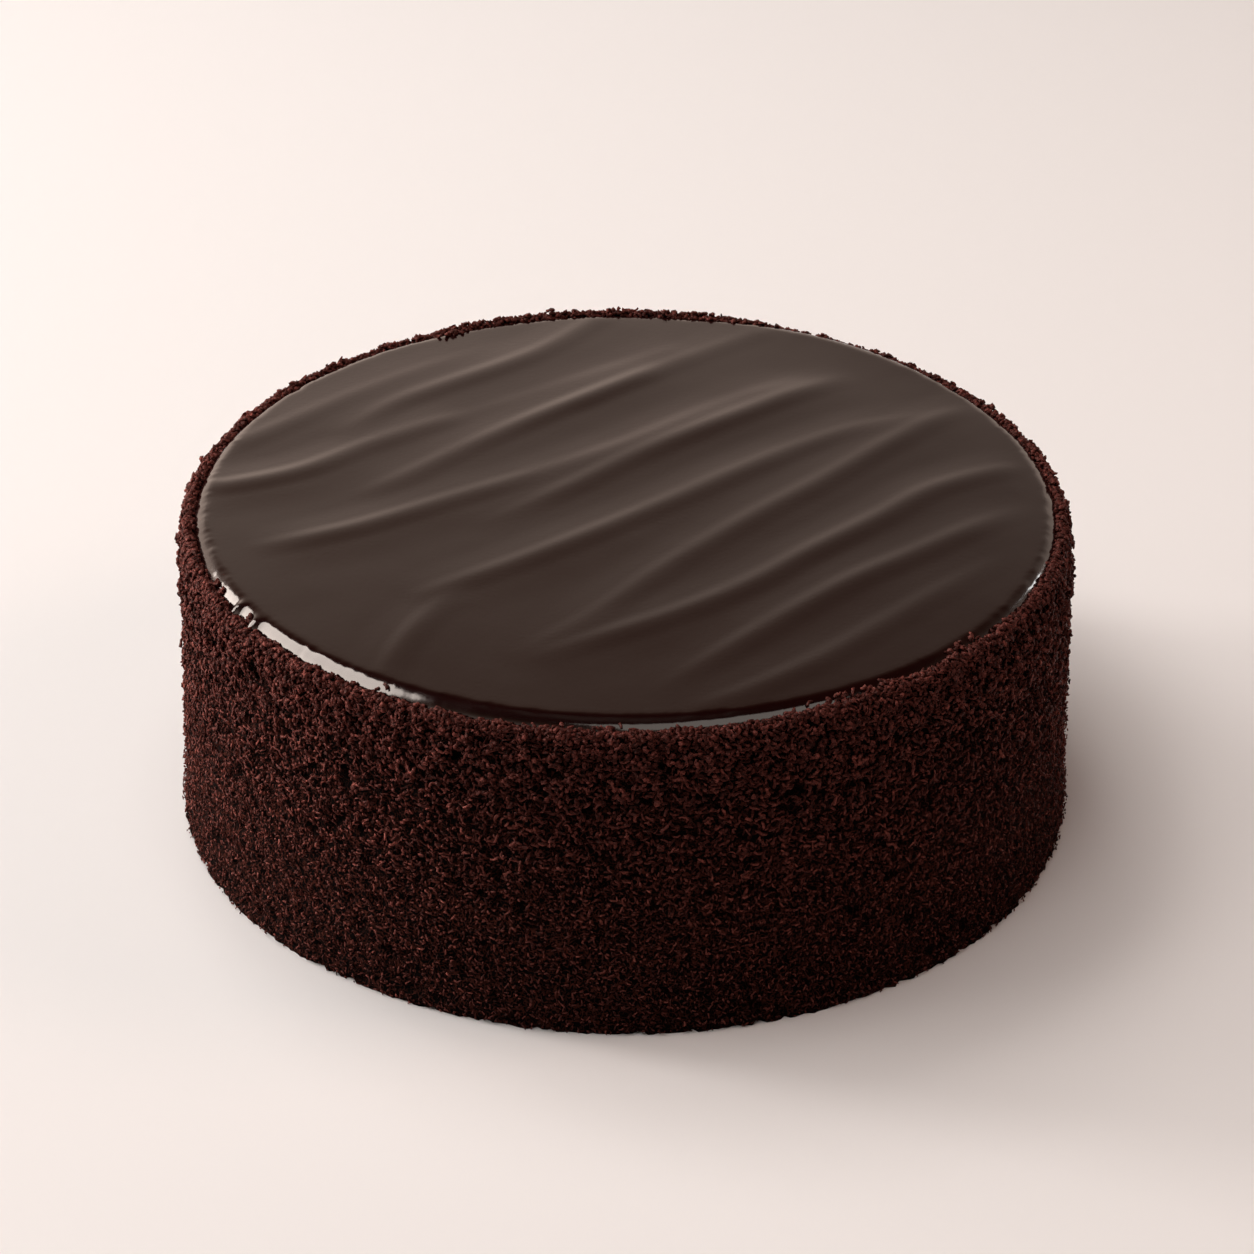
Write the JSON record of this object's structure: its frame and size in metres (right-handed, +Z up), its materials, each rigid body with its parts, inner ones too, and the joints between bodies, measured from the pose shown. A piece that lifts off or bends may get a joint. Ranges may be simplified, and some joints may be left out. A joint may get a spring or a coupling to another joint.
{
  "type": "fudge cake",
  "caption": "Round, tall fudge cake, uncut: a drum coated in dark cake crumbs, under chocolate fudge icing spread in curved knife ridges. It stands flat on its base.",
  "frame": {"origin": "the middle of the cake's base, on the surface that it stands on", "axes": "+Z up through the middle of the round cake; -Y towards the side that the picture shows; +X to the right in the picture"},
  "size_m": [0.2135, 0.2134, 0.078],
  "materials": {
    "cake_crumb": "dry, dark reddish-brown cake crumb",
    "chocolate_fudge": "smooth, satin-gloss dark chocolate fudge"
  },
  "bodies": {
    "root": {"crumb_coated_cake": "cake_crumb", "fudge_icing": "chocolate_fudge"}
  },
  "joints": []
}
